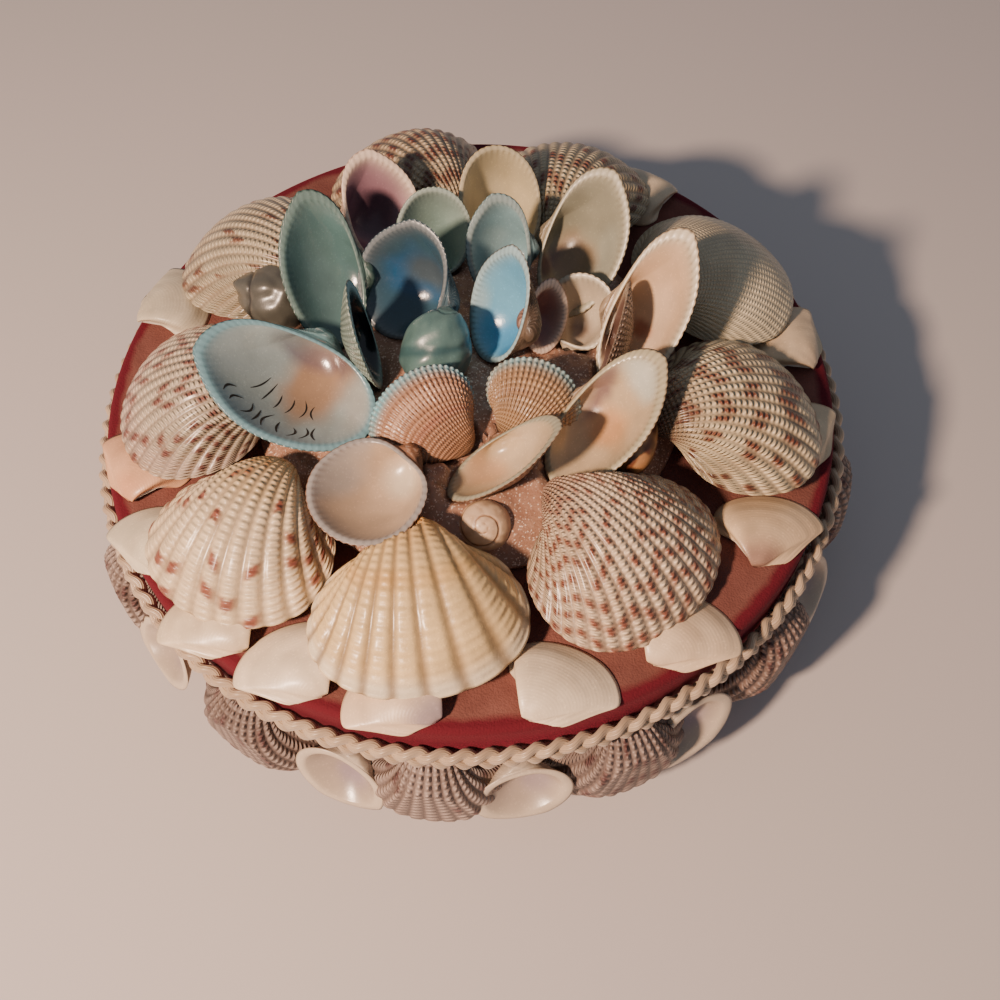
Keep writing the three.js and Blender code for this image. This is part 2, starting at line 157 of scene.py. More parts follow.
def make_object(name, points, faces, material, replaced=()):
    """An object of these points and faces that rides the body and takes a material slot."""
    mesh = bpy.data.meshes.new(name)
    mesh.from_pydata(points.tolist(), [], faces)
    mesh.materials.append(material)
    mesh.polygons.foreach_set("use_smooth", np.ones(len(mesh.polygons), bool))
    mesh.update()
    piece = bpy.data.objects.new(name, mesh)
    bpy.context.collection.objects.link(piece)
    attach(piece, "root")
    if replaced:
        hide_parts(*replaced)
    return piece


def add_layers(mesh, uv, layers):
    """Writes a UV pair for every face corner and the given layers for every point."""
    layer = mesh.uv_layers.new(name="growth")
    layer.data.foreach_set("uv", uv.astype(np.float32).ravel())
    for key, values in layers.items():
        if values.ndim == 2:
            kind, field = "FLOAT_COLOR", "color"
            values = np.concatenate([values, np.ones((len(values), 1))], axis=1)
        else:
            kind, field = "FLOAT", "value"
        attribute = mesh.attributes.new(key, kind, "POINT")
        attribute.data.foreach_set(field, values.astype(np.float32).ravel())


def closed_grid(name, points, uv, layers, material, replaced=(), loop=False):
    """A closed skin over a grid of points. Columns join up; rows end in a pole or, with loop, join too.

    uv has one column more than points, so that the pattern runs on over the seam.
    """
    rows, columns = points.shape[:2]
    last = rows if loop else rows - 1
    row, column = np.meshgrid(np.arange(last), np.arange(columns), indexing="ij")
    row, column = row.ravel(), column.ravel()
    next_row, next_column = (row + 1) % rows, (column + 1) % columns
    quads = np.stack([row * columns + column, row * columns + next_column,
                      next_row * columns + next_column, next_row * columns + column], axis=1)
    uv_row = np.minimum(row + 1, uv.shape[0] - 1)
    corner_uv = np.stack([uv[row, column], uv[row, column + 1],
                          uv[uv_row, column + 1], uv[uv_row, column]], axis=1)
    flat = points.reshape(-1, 3)
    flat_layers = {key: value.reshape(rows * columns, -1).squeeze() for key, value in layers.items()}
    faces = quads.tolist()
    corner_uv = corner_uv.reshape(-1, 2)
    if not loop:
        first, final = rows * columns, rows * columns + 1
        flat = np.concatenate([flat, points[:1].mean(axis=1), points[-1:].mean(axis=1)])
        flat_layers = {
            key: np.concatenate([value, value[:columns].mean(axis=0)[None],
                                 value[-columns:].mean(axis=0)[None]])
            for key, value in flat_layers.items()
        }
        column = np.arange(columns)
        next_column = (column + 1) % columns
        base = (rows - 1) * columns
        faces += np.stack([np.full(columns, first), next_column, column], axis=1).tolist()
        faces += np.stack([np.full(columns, final), base + column, base + next_column], axis=1).tolist()
        corner_uv = np.concatenate([
            corner_uv,
            np.stack([uv[0, :-1], uv[0, 1:], uv[0, :-1]], axis=1).reshape(-1, 2),
            np.stack([uv[-1, :-1], uv[-1, :-1], uv[-1, 1:]], axis=1).reshape(-1, 2),
        ])
    piece = make_object(name, flat, faces, material, replaced)
    add_layers(piece.data, corner_uv, flat_layers)
    return piece


def rim_outline(form, length, height, hand, count):
    """The rim, at equal steps of arc from the middle of the hinge: columns x, y, shape (count, 2)."""
    _, taper, shift, point, shoulder, corner = FORMS[form]
    u = np.linspace(-0.5 * math.pi, 1.5 * math.pi, 1441)
    side, lift = np.cos(u), np.sin(u)
    square = np.where(lift < 0, shoulder, 1.0)
    along = np.sign(side) * np.abs(side) ** square
    bend = np.where(lift < 0, 1 + (corner - 1) * np.abs(lift), 1 + point * np.maximum(0, hand * along))
    rise = np.sign(lift) * np.abs(lift) ** bend
    reach = 0.52 + 0.48 * rise
    x = 0.5 * length * (along * (1 - taper * (1 - reach)) + hand * shift * (1 - 0.5 * reach))
    y = height * reach
    steps = np.hypot(np.diff(x), np.diff(y))
    arc = np.concatenate([[0], np.cumsum(steps)])
    want = np.linspace(0, arc[-1], count + 1)[:-1]
    return np.stack([np.interp(want, arc, x), np.interp(want, arc, y)], axis=1)


def pose_matrix(height, centre, aim=0, lean=0, roll=0, turn=0):
    """Sets a shell by the middle of its rim, as the solids do: spin in its plane, roll, lean, then aim."""
    rad = math.radians
    return (Matrix.Translation(centre) @ Matrix.Rotation(rad(aim - 90), 4, "Z")
            @ Matrix.Rotation(rad(lean), 4, "X") @ Matrix.Rotation(rad(roll), 4, "Y")
            @ Matrix.Rotation(rad(turn), 4, "Z") @ Matrix.Translation((0, -0.5 * height, 0)))


def placed(points, matrix):
    """The grid's points carried by a 4 x 4 matrix."""
    full = np.array(matrix)
    return points @ full[:3, :3].T + full[:3, 3]


# the groove colour and its share are painted shade in the gaps between ribs and between the rim's teeth
LOOK = {
    "ribs": 24, "round": 0.5, "depth": 0.45, "bead": 1.4, "base": "#d9c9a8", "groove": "#8d7663",
    "groove_shade_share": 0.4, "spot": "#8a4a38", "spots": 0.0, "spot_rows": 7, "bands": (), "umbo": None,
    "inside": "#cdbfae", "edge": "#d8cfc0", "patches": (), "columns": 160, "rows": 64, "beaded": 1.0,
    "coarse": 0.0, "seed": 1, "stain": 0.25, "fine_left": 0.0, "inner_rows": 6, "keel": 0.0,
    "calm": 0.5, "rim": 0.06, "zigzag": 0.35,
}


def valve(name, form, length, height, wall, matrix, look, material, hand=1, replaced=(), curl=2.7,
          press=False, note=False):
    """One valve of a bivalve as a closed skin.

    The rim M(s) is turned about the hinge by the growth angle p and shrunk: P(s, p) = e^(-coil p) R(p) M(s).
    The inner skin is the outer one drawn in about the middle of the rim, Q = C + k (P - C). Ribs lift the
    outer skin along its normal by depth * (crest - 0.55) * e^(-0.9 coil p) and notch the rim. The crest is
    1 - (1 - w)^(1 / round), where w is a cosine wave, 0 to 1, with one top for each rib.
    """
    look = {**LOOK, **look}
    seed, count, rows = look["seed"], look["columns"], look["rows"]
    coil = FORMS[form][0]
    outline = rim_outline(form, length, height, hand, count)
    s = np.arange(count) / count
    inner_rows = look["inner_rows"]
    smallest = math.exp(-coil * curl)
    outer_size = 1 - (1 - smallest) * np.linspace(0, 1, rows)
    inner_size = 1 - (1 - math.exp(-coil * 1.9)) * np.linspace(1, 0, inner_rows) ** 1.3
    lip = np.linspace(0, 1, 5)[1:-1]

    def skin(size, share):
        angle = -np.log(size) / coil
        grid = np.stack([
            size[:, None] * outline[None, :, 0],
            size[:, None] * np.cos(angle)[:, None] * outline[None, :, 1],
            size[:, None] * np.sin(angle)[:, None] * outline[None, :, 1],
        ], axis=2)
        middle = np.array([0, 0.45 * height, 0])
        return middle + share[:, None, None] * (grid - middle)

    shrink = 1 - wall / (0.5 * height)
    outer, inner = skin(outer_size, np.ones(rows)), skin(inner_size, np.full(inner_rows, shrink))
    edge = outer[:1] * lip[:, None, None] + inner[-1:] * (1 - lip)[:, None, None]
    edge[..., 2] -= 0.12 * wall * np.sin(math.pi * lip)[:, None]

    grown = outer_size[:, None]
    # ribs run from the beak to the rim; none at the hinge
    bare = 0.09
    across = (s - bare) / (1 - 2 * bare)
    skew = across + look["fine_left"] * 0.35 * np.sin(math.pi * np.clip(across, 0, 1)) ** 2
    rib = skew * look["ribs"]
    window = smooth(bare - 0.05, bare + 0.06, np.minimum(s, 1 - s))
    wave = 0.5 + 0.5 * np.cos(2 * math.pi * rib)
    crest = (1 - (1 - wave) ** (1 / max(look["round"], 0.05))) if look["ribs"] else np.ones(count)
    depth = look["depth"] * MM
    wobble = noise(s * 9 + seed, grown * 5 + 0 * s, seed) - 0.5
    steps = noise(grown * 26 + 0 * s, s[None] * 2 + 0 * grown, seed + 1)
    calm_rim = 1 - look["calm"] * smooth(0.9, 1.0, grown)
    lift = depth * (crest * window - 0.55)[None] * grown ** 0.9 * calm_rim
    lift = lift + 0.012 * height * wobble * grown
    lift = lift + 0.16 * MM * (steps - 0.5) * grown
    if look["coarse"]:
        # gentle cross swellings along each rib
        cross = 0.5 + 0.5 * np.cos(2 * math.pi * 15 * grown + 0 * s)
        lift = lift + look["coarse"] * MM * cross * (crest * window)[None] * grown
    if look["keel"]:
        # a ridge runs from the beak to the corner of the short end, and the face behind it is hollow
        behind = hand * (s - 0.5 - 0.17 * hand)
        ridge = np.where(behind < 0, np.exp(-(behind / 0.11) ** 2), 1.5 * np.exp(-(behind / 0.03) ** 2) - 0.5)
        fade = np.sin(math.pi * grown ** 1.5)
        lift = lift + look["keel"] * MM * (ridge * window)[None] * fade
    outer = outer + outward(outer) * lift[..., None]
    notch = np.exp(-(1 - inner_size) / 0.035)
    inward = outward(inner)
    inner = inner - inward * (0.45 * depth * notch[:, None] * (crest * window - 0.5)[None])[..., None]
    edge = edge + (outer[:1] - skin(outer_size[:1], np.ones(1))) * lip[:, None, None]

    points = np.concatenate([inner, edge, outer])
    total_rows = len(points)

    # bead count along a rib from the length of the rib
    run = height * math.sqrt(1 + 1 / coil ** 2)
    beads = run * (1 - outer_size ** 0.8) / (0.8 * look["bead"] * MM)
    v = np.concatenate([np.full(inner_rows + len(lip), beads[0]), beads])
    rib_full = np.append(rib, rib[-1] + (rib[-1] - rib[-2]))
    uv = np.stack(np.broadcast_arrays(rib_full[None], v[:, None]), axis=2)

    # colours of the outer skin
    base, groove = linear(look["base"]), linear(look["groove"])
    tone = np.broadcast_to(base, (rows, count, 3)).copy()
    g = grown + 0 * s
    around = across[None] + 0 * g
    blotch = noise(around * 7 + seed, g * 9, seed + 2)
    tone = tone * (0.86 + 0.22 * blotch)[..., None]
    for place, width, colour, strength in look["bands"]:
        uneven = 0.6 + 0.5 * noise(around * 12, g * 6, seed + 3)
        ring = strength * np.exp(-((g - place) / width) ** 2) * uneven
        tone = blend(tone, linear(colour), np.clip(ring, 0, 1))
    if look["spots"]:
        drift = 0.9 * noise(around * 5, g * 3, seed + 4) + look["zigzag"] * np.abs(2 * ((0.25 * rib) % 1) - 1)
        line = g * look["spot_rows"] + drift
        lot = speckle(np.round(rib)[None] + 0 * g, line, seed + 5)
        in_row = np.abs(line - np.floor(line) - 0.5)
        patch = noise(around * 4 + 9, g * 5, seed + 6)
        strength = smooth(0.3, 0.16, in_row) * (lot < look["spots"] * (0.4 + 1.2 * patch))
        strength = strength * (0.35 + 0.65 * crest[None] ** 1.5) * window[None]
        tone = blend(tone, linear(look["spot"]), np.clip(0.95 * strength, 0, 1))
    # painted shade: the groove colour darkens the gaps between the ribs, more towards the rim
    if look["ribs"]:
        gap = (1 - crest[None]) * window[None] * look["groove_shade_share"] * (0.55 + 0.45 * g)
        tone = blend(tone, groove, np.clip(gap, 0, 1))
    if look["umbo"]:
        tone = blend(tone, linear(look["umbo"]), 0.8 * smooth(0.5, 0.18, g))
    stain = look["stain"] * smooth(0.55, 0.8, noise(around * 6 + 3, g * 7 + 5, seed + 7))
    tone = blend(tone, tone * np.array([0.62, 0.5, 0.42]), stain)

    # colours of the inner skin: x from -1 to 1 along the shell, y from 0 at the hinge to 1 at the rim
    cloud = noise(inner[..., 0] / (4 * MM) + seed, inner[..., 1] / (4 * MM), seed + 8)
    within = np.broadcast_to(linear(look["inside"]), inner.shape) * (0.88 + 0.2 * cloud)[..., None]
    x, y = 2 * inner[..., 0] / length, inner[..., 1] / height
    for px, py, rx, ry, colour, strength in look["patches"]:
        far = np.hypot((x - px) / rx, (y - py) / ry) + 0.35 * (cloud - 0.5)
        within = blend(within, linear(colour), strength * smooth(1.0, 0.35, far))
    near_rim = np.exp(-(1 - inner_size) / look["rim"])[:, None] + 0 * s
    within = blend(within, linear(look["edge"]), np.clip(near_rim, 0, 1) * 0.85)
    # painted shade: the gaps between the rim's teeth take the groove colour
    if look["ribs"]:
        tooth_gap_shade = (1 - crest[None]) * window[None] * np.exp(-(1 - inner_size) / 0.03)[:, None]
        within = blend(within, groove, 0.5 * tooth_gap_shade)
    lip_tone = np.broadcast_to(linear(look["edge"]), (len(lip), count, 3))
    # painted shade: the lip is darker between its crests
    lip_tone = lip_tone * (0.8 + 0.2 * crest)[None, :, None]
    tint = np.concatenate([within, lip_tone, tone])
    relief = np.zeros((total_rows, count))
    relief[-rows:] = look["beaded"] * window[None] * smooth(0.0, 0.25, grown)
    inside = np.zeros((total_rows, count))
    inside[:inner_rows] = 1
    world = placed(points, matrix)
    world[..., 2] = np.clip(world[..., 2], 0.4 * MM, cad_bounds[1][2] - 0.1 * MM)
    far = np.linalg.norm(world[..., :2], axis=2, keepdims=True)
    world[..., :2] *= np.minimum(1, (cad_bounds[1][0] - 0.2 * MM) / far)
    if note:
        note_petal(world)
    if press:
        press_under(world)
    layers = {"tint": tint, "relief": relief, "inside": inside}
    return closed_grid(name, world, uv, layers, material, replaced)


# Heights under the petals, in cells of 0.6 mm: what is glued beneath a petal stays under it.
CELL = 0.6 * MM
CELLS = 320
under_petals = np.full((CELLS, CELLS), 1.0)


def cell_of(points):
    """Row and column of the cell that each point stands over."""
    index = np.floor(points[..., :2] / CELL).astype(int) + CELLS // 2
    return np.clip(index[..., 0], 0, CELLS - 1), np.clip(index[..., 1], 0, CELLS - 1)


def note_petal(points):
    """Keeps the lowest height of these points in each cell and in the cells next to it."""
    i, j = cell_of(points)
    for di in (-1, 0, 1):
        for dj in (-1, 0, 1):
            at = (np.clip(i + di, 0, CELLS - 1), np.clip(j + dj, 0, CELLS - 1))
            np.minimum.at(under_petals, at, points[..., 2])


def press_under(points, gap=0.2 * MM):
    """Lowers points that would stand in or above a petal."""
    i, j = cell_of(points)
    points[..., 2] = np.minimum(points[..., 2], np.maximum(under_petals[i, j] - gap, LID_TOP + 0.3 * MM))
    return points


# Materials

def new_material(name):
    """A new material, its shader, and functions that link two sockets and add a node."""
    material = bpy.data.materials.new(name)
    material.use_nodes = True
    tree = material.node_tree
    shader = tree.nodes["Principled BSDF"]

    def add(kind, **settings):
        node = tree.nodes.new(kind)
        for key, value in settings.items():
            if key in node.inputs:
                if isinstance(value, bpy.types.NodeSocket):
                    tree.links.new(value, node.inputs[key])
                else:
                    node.inputs[key].default_value = value
            else:
                setattr(node, key, value)
        return node

    return material, shader, tree.links.new, add


def maths(add, operation, a, b=None):
    """The output of a maths node on two sockets or numbers."""
    node = add("ShaderNodeMath", operation=operation)
    for i, value in enumerate((a, b)):
        if isinstance(value, bpy.types.NodeSocket):
            node.id_data.links.new(value, node.inputs[i])
        elif value is not None:
            node.inputs[i].default_value = value
    return node.outputs[0]


def remap(add, value, to_range=(0.0, 1.0), from_range=(0.0, 1.0)):
    """A socket that carries one range over to another, clamped."""
    node = add("ShaderNodeMapRange", Value=value)
    for word, pair in (("To", to_range), ("From", from_range)):
        node.inputs[f"{word} Min"].default_value = pair[0]
        node.inputs[f"{word} Max"].default_value = pair[1]
    return node.outputs["Result"]


def mix_tones(add, share, under, over):
    """The mix of two tones, each a hex code or a socket."""
    node = add("ShaderNodeMix", data_type="RGBA", Factor=share)
    for key, tone in (("A", under), ("B", over)):
        if isinstance(tone, str):
            node.inputs[key].default_value = (*linear(tone), 1)
        else:
            node.id_data.links.new(tone, node.inputs[key])
    return node.outputs["Result"]


def set_inputs(node, **values):
    """Sets sockets by name; an underscore stands for a space."""
    for key, value in values.items():
        node.inputs[key.replace("_", " ")].default_value = value


def shell_material(name, roughness, coat, bead_height):
    """Lime shell: tint from the point colours, beads from the growth UV, fine grain from object coordinates.

    Bead height = relief * (0.5 + 0.5 cos 2 pi U) * (0.5 + 0.5 cos 2 pi V), where U counts ribs and V beads.
    """
    material, shader, link, add = new_material(name)
    tint = add("ShaderNodeAttribute", attribute_name="tint")
    relief = add("ShaderNodeAttribute", attribute_name="relief")
    inside = add("ShaderNodeAttribute", attribute_name="inside")
    growth = add("ShaderNodeUVMap", uv_map="growth")
    split = add("ShaderNodeSeparateXYZ", Vector=growth.outputs["UV"])
    waves = []
    for axis in ("X", "Y"):
        turn = maths(add, "MULTIPLY", split.outputs[axis], 2 * math.pi)
        cosine = maths(add, "COSINE", turn)
        waves.append(maths(add, "MULTIPLY_ADD", cosine, 0.5))
        waves[-1].node.inputs[2].default_value = 0.5
    bead = maths(add, "MULTIPLY", waves[0], waves[1])
    bead = maths(add, "MULTIPLY", bead, relief.outputs["Fac"])
    place = add("ShaderNodeTexCoord")
    grain = add("ShaderNodeTexNoise", Vector=place.outputs["Object"], Scale=1400.0, Detail=3.0)
    cloud = add("ShaderNodeTexNoise", Vector=place.outputs["Object"], Scale=230.0, Detail=4.0)
    bumps = maths(add, "MULTIPLY", grain.outputs["Fac"], 0.12)
    bumps = maths(add, "ADD", bumps, bead)
    bump = add("ShaderNodeBump", Height=bumps, Distance=bead_height * MM, Strength=1.0)
    link(bump.outputs["Normal"], shader.inputs["Normal"])
    # painted shade: the grooves between beads are darker; the tint also varies a little from place to place
    bead_gap_shade = remap(add, waves[1], (0.78, 1.08))
    gap = add("ShaderNodeMix", data_type="FLOAT", Factor=relief.outputs["Fac"])
    gap.inputs["A"].default_value = 1.0
    link(bead_gap_shade, gap.inputs["B"])
    vary = remap(add, cloud.outputs["Fac"], (0.8, 1.18))
    shade = maths(add, "MULTIPLY", gap.outputs["Result"], vary)
    # painted shade: the gaps between ribs are darker still
    rib_gap_shade = maths(add, "POWER", maths(add, "SUBTRACT", 1.0, waves[0]), 5.0)
    rib_gap_shade = maths(add, "MULTIPLY", maths(add, "MULTIPLY", rib_gap_shade, relief.outputs["Fac"]), 0.38)
    shade = maths(add, "MULTIPLY", shade, maths(add, "SUBTRACT", 1.0, rib_gap_shade))
    # flecks of fine glitter from the glue: cells a third of a millimetre wide, the brightest of them lighter
    flakes = add("ShaderNodeTexVoronoi", Vector=place.outputs["Object"], Scale=3200.0)
    bright = remap(add, flakes.outputs["Color"], from_range=(0.8, 0.86))
    glint = maths(add, "ADD", maths(add, "MULTIPLY", bright, 0.14), 1.0)
    shade = maths(add, "MULTIPLY", shade, glint)
    colour = add("ShaderNodeVectorMath", operation="SCALE")
    link(tint.outputs["Color"], colour.inputs[0])
    link(shade, colour.inputs["Scale"])
    link(colour.outputs["Vector"], shader.inputs["Base Color"])
    gloss = remap(add, inside.outputs["Fac"], (roughness, max(0.18, roughness - 0.14)))
    link(gloss, shader.inputs["Roughness"])
    set_inputs(shader, IOR=1.53, Coat_Weight=coat, Coat_Roughness=0.22)
    return material


# ribbed lime shell under clear lacquer: soft highlights on rows of small beads
RIBBED = shell_material("lacquered_cockle_shell", 0.4, 0.35, 0.6)
# bare lime shell: dull, with the highest beads
SIDE = shell_material("bare_cockle_shell", 0.55, 0.1, 0.9)
# smooth polished lime shell: an even, low sheen
SMOOTH = shell_material("polished_clam_shell", 0.42, 0.2, 0.2)
# lime shell, dyed and lacquered: deep colour under the strongest gloss
DYED = shell_material("dyed_glossy_shell", 0.34, 0.4, 0.3)


def plain_material(name, colour, roughness):
    """One even colour, for a piece that has no layers of its own."""
    material, shader, _, _ = new_material(name)
    set_inputs(shader, Base_Color=(*linear(colour), 1), Roughness=roughness)
    return material


def velvet_material():
    """Cotton velvet: crimson pile at the edge, faded and matted with glue further in."""
    material, shader, link, add = new_material("crimson_velvet")
    place = add("ShaderNodeTexCoord")
    flat = add("ShaderNodeVectorMath", operation="MULTIPLY")
    link(place.outputs["Object"], flat.inputs[0])
    flat.inputs[1].default_value = (1, 1, 0)
    far = add("ShaderNodeVectorMath", operation="LENGTH")
    link(flat.outputs["Vector"], far.inputs[0])
    patchy = add("ShaderNodeTexNoise", Vector=place.outputs["Object"], Scale=150.0, Detail=7.0)
    pile = add("ShaderNodeTexNoise", Vector=place.outputs["Object"], Scale=2600.0, Detail=2.0)
    shake = maths(add, "MULTIPLY_ADD", patchy.outputs["Fac"], 3.5 * MM)
    link(far.outputs["Value"], shake.node.inputs[2])
    fade = remap(add, shake, from_range=(LID_RADIUS - 1.6 * MM, LID_RADIUS - 0.2 * MM))
    worn = mix_tones(add, patchy.outputs["Fac"], "#572720", "#905c50")
    link(mix_tones(add, fade, worn, "#620218"), shader.inputs["Base Color"])
    set_inputs(shader, Roughness=0.9, Sheen_Weight=0.25, Sheen_Roughness=0.35,
               Sheen_Tint=(*linear("#c02a50"), 1))
    bump = add("ShaderNodeBump", Height=pile.outputs["Fac"], Distance=0.25 * MM, Strength=0.8)
    link(bump.outputs["Normal"], shader.inputs["Normal"])
    return material


def glue_material():
    """Hard clear glue over brown velvet, full of fine glitter."""
    material, shader, link, add = new_material("glitter_glue")
    place = add("ShaderNodeTexCoord")
    flakes = add("ShaderNodeTexVoronoi", Vector=place.outputs["Object"], Scale=3600.0)
    lumps = add("ShaderNodeTexNoise", Vector=place.outputs["Object"], Scale=260.0, Detail=6.0)
    tone = mix_tones(add, lumps.outputs["Fac"], "#8a5c48", "#bf9880")
    bright = remap(add, flakes.outputs["Color"], from_range=(0.76, 0.84))
    link(mix_tones(add, bright, tone, "#e6ccb8"), shader.inputs["Base Color"])
    set_inputs(shader, Roughness=0.3, IOR=1.5)
    heights = maths(add, "MULTIPLY_ADD", flakes.outputs["Color"], 0.25)
    link(lumps.outputs["Fac"], heights.node.inputs[2])
    bump = add("ShaderNodeBump", Height=heights, Distance=0.7 * MM, Strength=1.0)
    link(bump.outputs["Normal"], shader.inputs["Normal"])
    return material


def satin_material():
    """Rayon satin cord: fine threads that run along each strand."""
    material, shader, link, add = new_material("satin_cord")
    growth = add("ShaderNodeUVMap", uv_map="growth")
    split = add("ShaderNodeSeparateXYZ", Vector=growth.outputs["UV"])
    turn = maths(add, "MULTIPLY", split.outputs["Y"], 2 * math.pi * 14)
    threads = maths(add, "SINE", turn)
    place = add("ShaderNodeTexCoord")
    patchy = add("ShaderNodeTexNoise", Vector=place.outputs["Object"], Scale=160.0, Detail=3.0)
    tone = mix_tones(add, patchy.outputs["Fac"], "#9d8066", "#d6bf9f")
    link(tone, shader.inputs["Base Color"])
    set_inputs(shader, Roughness=0.38, Sheen_Weight=0.25)
    bump = add("ShaderNodeBump", Height=threads, Distance=0.05 * MM, Strength=0.7)
    link(bump.outputs["Normal"], shader.inputs["Normal"])
    return material


VELVET = velvet_material()
GLUE = glue_material()
SATIN = satin_material()
# pressed card: matt and brown, seen only between the shells
CARD = plain_material("pressed_card", "#8f7468", 0.9)
# marker ink: near black with a slight gloss
INK = plain_material("black_marker_ink", "#15120f", 0.45)


def lathe(name, profile, material, replaced, segments=256):
    """A turned solid: the profile's points (radius, height) swept round the upright axis."""
    profile = np.array(profile)
    angle = np.linspace(0, 2 * math.pi, segments, endpoint=False)
    radius, z = profile[:, :1], profile[:, 1:]
    columns = [radius * np.cos(angle), radius * np.sin(angle), np.repeat(z, segments, axis=1)]
    points = np.stack(columns, axis=2)
    uv = np.zeros((len(profile), segments + 1, 2))
    closed_grid(name, points, uv, {}, material, replaced)


def box_and_lid():
    """The open card tray, and the lid: a flat top with a rounded edge and a skirt."""
    wall_in, top = TRAY_RADIUS - TRAY_WALL, tray_high.z
    tray = [(AXIS, 0), (TRAY_RADIUS - BEVEL, 0), (TRAY_RADIUS, BEVEL), (TRAY_RADIUS, top - BEVEL),
            (TRAY_RADIUS - BEVEL, top), (wall_in, top), (wall_in, TRAY_FLOOR), (AXIS, TRAY_FLOOR)]
    lathe("card_tray", tray, CARD, ["box_body"])
    foot, under, inner = lid_low.z, LID_TOP - LID_WALL, LID_RADIUS - LID_WALL
    corner = [(LID_RADIUS - LID_EDGE + LID_EDGE * math.sin(t), LID_TOP - LID_EDGE + LID_EDGE * math.cos(t))
              for t in np.linspace(0.5 * math.pi, 0, 8)]
    skirt = [(AXIS, under), (inner, under), (inner, foot), (LID_RADIUS - BEVEL, foot),
             (LID_RADIUS, foot + BEVEL)]
    lathe("velvet_lid", [*skirt, *corner, (0.7 * LID_RADIUS, LID_TOP), (AXIS, LID_TOP)], VELVET,
          ["lid"])


box_and_lid()


def braid():
    """A flat plait of three strands, each a third of a turn behind the last one.

    Up and down a strand swings as the sine of its phase, and in and out as the sine of twice its phase.
    """
    turns, steps, round_count = 38, 912, 12
    inner = LID_RADIUS + 0.3 * MM
    middle_radius = 0.5 * (inner + braid_high.x)
    middle_z = 0.5 * (braid_low.z + braid_high.z)
    half_deep, half_high = 0.5 * (braid_high.x - inner), 0.5 * (braid_high.z - braid_low.z)
    angle = np.linspace(0, 2 * math.pi, steps, endpoint=False)[:, None]
    ring = np.linspace(0, 2 * math.pi, round_count, endpoint=False)[None]
    for strand in range(3):
        phase = turns * angle + 2 * math.pi / 3 * strand
        out = half_deep * (0.4 * np.sin(2 * phase) + 0.6 * np.cos(ring))
        up = half_high * (0.54 * np.sin(phase) - 0.46 * np.sin(ring))
        radius = middle_radius + out
        points = np.stack([radius * np.cos(angle), radius * np.sin(angle), middle_z + up + 0 * angle], axis=2)
        uv = np.stack(np.broadcast_arrays(
            np.linspace(0, turns, steps)[:, None], np.linspace(0, 1, round_count + 1)[None]), axis=2)
        closed_grid(f"braid_strand_{strand + 1}", points, uv, {}, SATIN,
                    ["lid_braid"], loop=True)


braid()


def on_circle(radius, azimuth, z):
    """A point at an azimuth measured from the front, positive to the right."""
    angle = math.radians(azimuth - 90)
    return Vector((radius * math.cos(angle), radius * math.sin(angle), z))


def flower_point(at):
    """A point of the flower, measured from the middle of the lid's top."""
    return Vector(at) * HUNDREDTH + Vector((0, 0, LID_TOP))


# Flat clams at the lid's edge: azimuth, how far out past the inset in hundredths of the length, swing, hand,
# colour of the shell and of its beak
CLAMS = [
    (-9, 2, 39, -1, "#f0d2af", "#94858f"), (10, 2, -31, 1, "#f2ddbd", "#f4dfc0"),
    (31.5, -1, -55, 1, "#ecd0ac", "#e7ccaa"), (55, -8, -55, 1, "#e7c8a0", "#926b60"),
    (74, -6, -40, 1, "#e3c9a4", "#ddc29f"), (95, -2, -40, 1, "#dec6a4", "#d5bb9a"),
    (141, 0, -30, 1, "#dfcaaa", "#d8c2a1"), (-109, 6, 30, -1, "#dacdb2", "#cec1a6"),
    (-73, -4, 40, -1, "#e7b38b", "#da9e75"), (-58, 0, 50, -1, "#e1d2b5", "#d7c7aa"),
    (-41, 4, 61, -1, "#ecd5b3", "#e4cba9"), (-26, 2, 46, -1, "#f4dfc0", "#eed8b8"),
]


def lid_clams():
    """Flat clams on the lid, beaks outwards."""
    for i, (azimuth, out, swing, hand, base, beak) in enumerate(CLAMS):
        radius = LID_RADIUS - CLAM_INSET + out / 100 * CLAM_LENGTH
        centre = on_circle(radius, azimuth, LID_TOP + TOUCH_GAP)
        matrix = pose_matrix(CLAM_WIDTH, centre, aim=azimuth + 90 + swing)
        look = {"ribs": 0, "depth": 0.0, "beaded": 0.05, "bead": 0.8, "base": base, "umbo": beak,
                "columns": 96, "rows": 30, "inner_rows": 3, "seed": 60 + i, "stain": 0.1, "keel": 1.2}
        valve(f"lid_clam_{i + 1}_skin", "wedge", CLAM_LENGTH, CLAM_WIDTH, SMALL_WALL, matrix, look, SMOOTH,
              hand=hand, replaced=[f"lid_clam_{i + 1}"], curl=1.6)


lid_clams()


def petal_look(ribs, depth, base, groove, inside, edge, **more):
    """A look by its most used values, in this order."""
    return {"ribs": ribs, "depth": depth, "base": base, "groove": groove, "inside": inside, "edge": edge, **more}


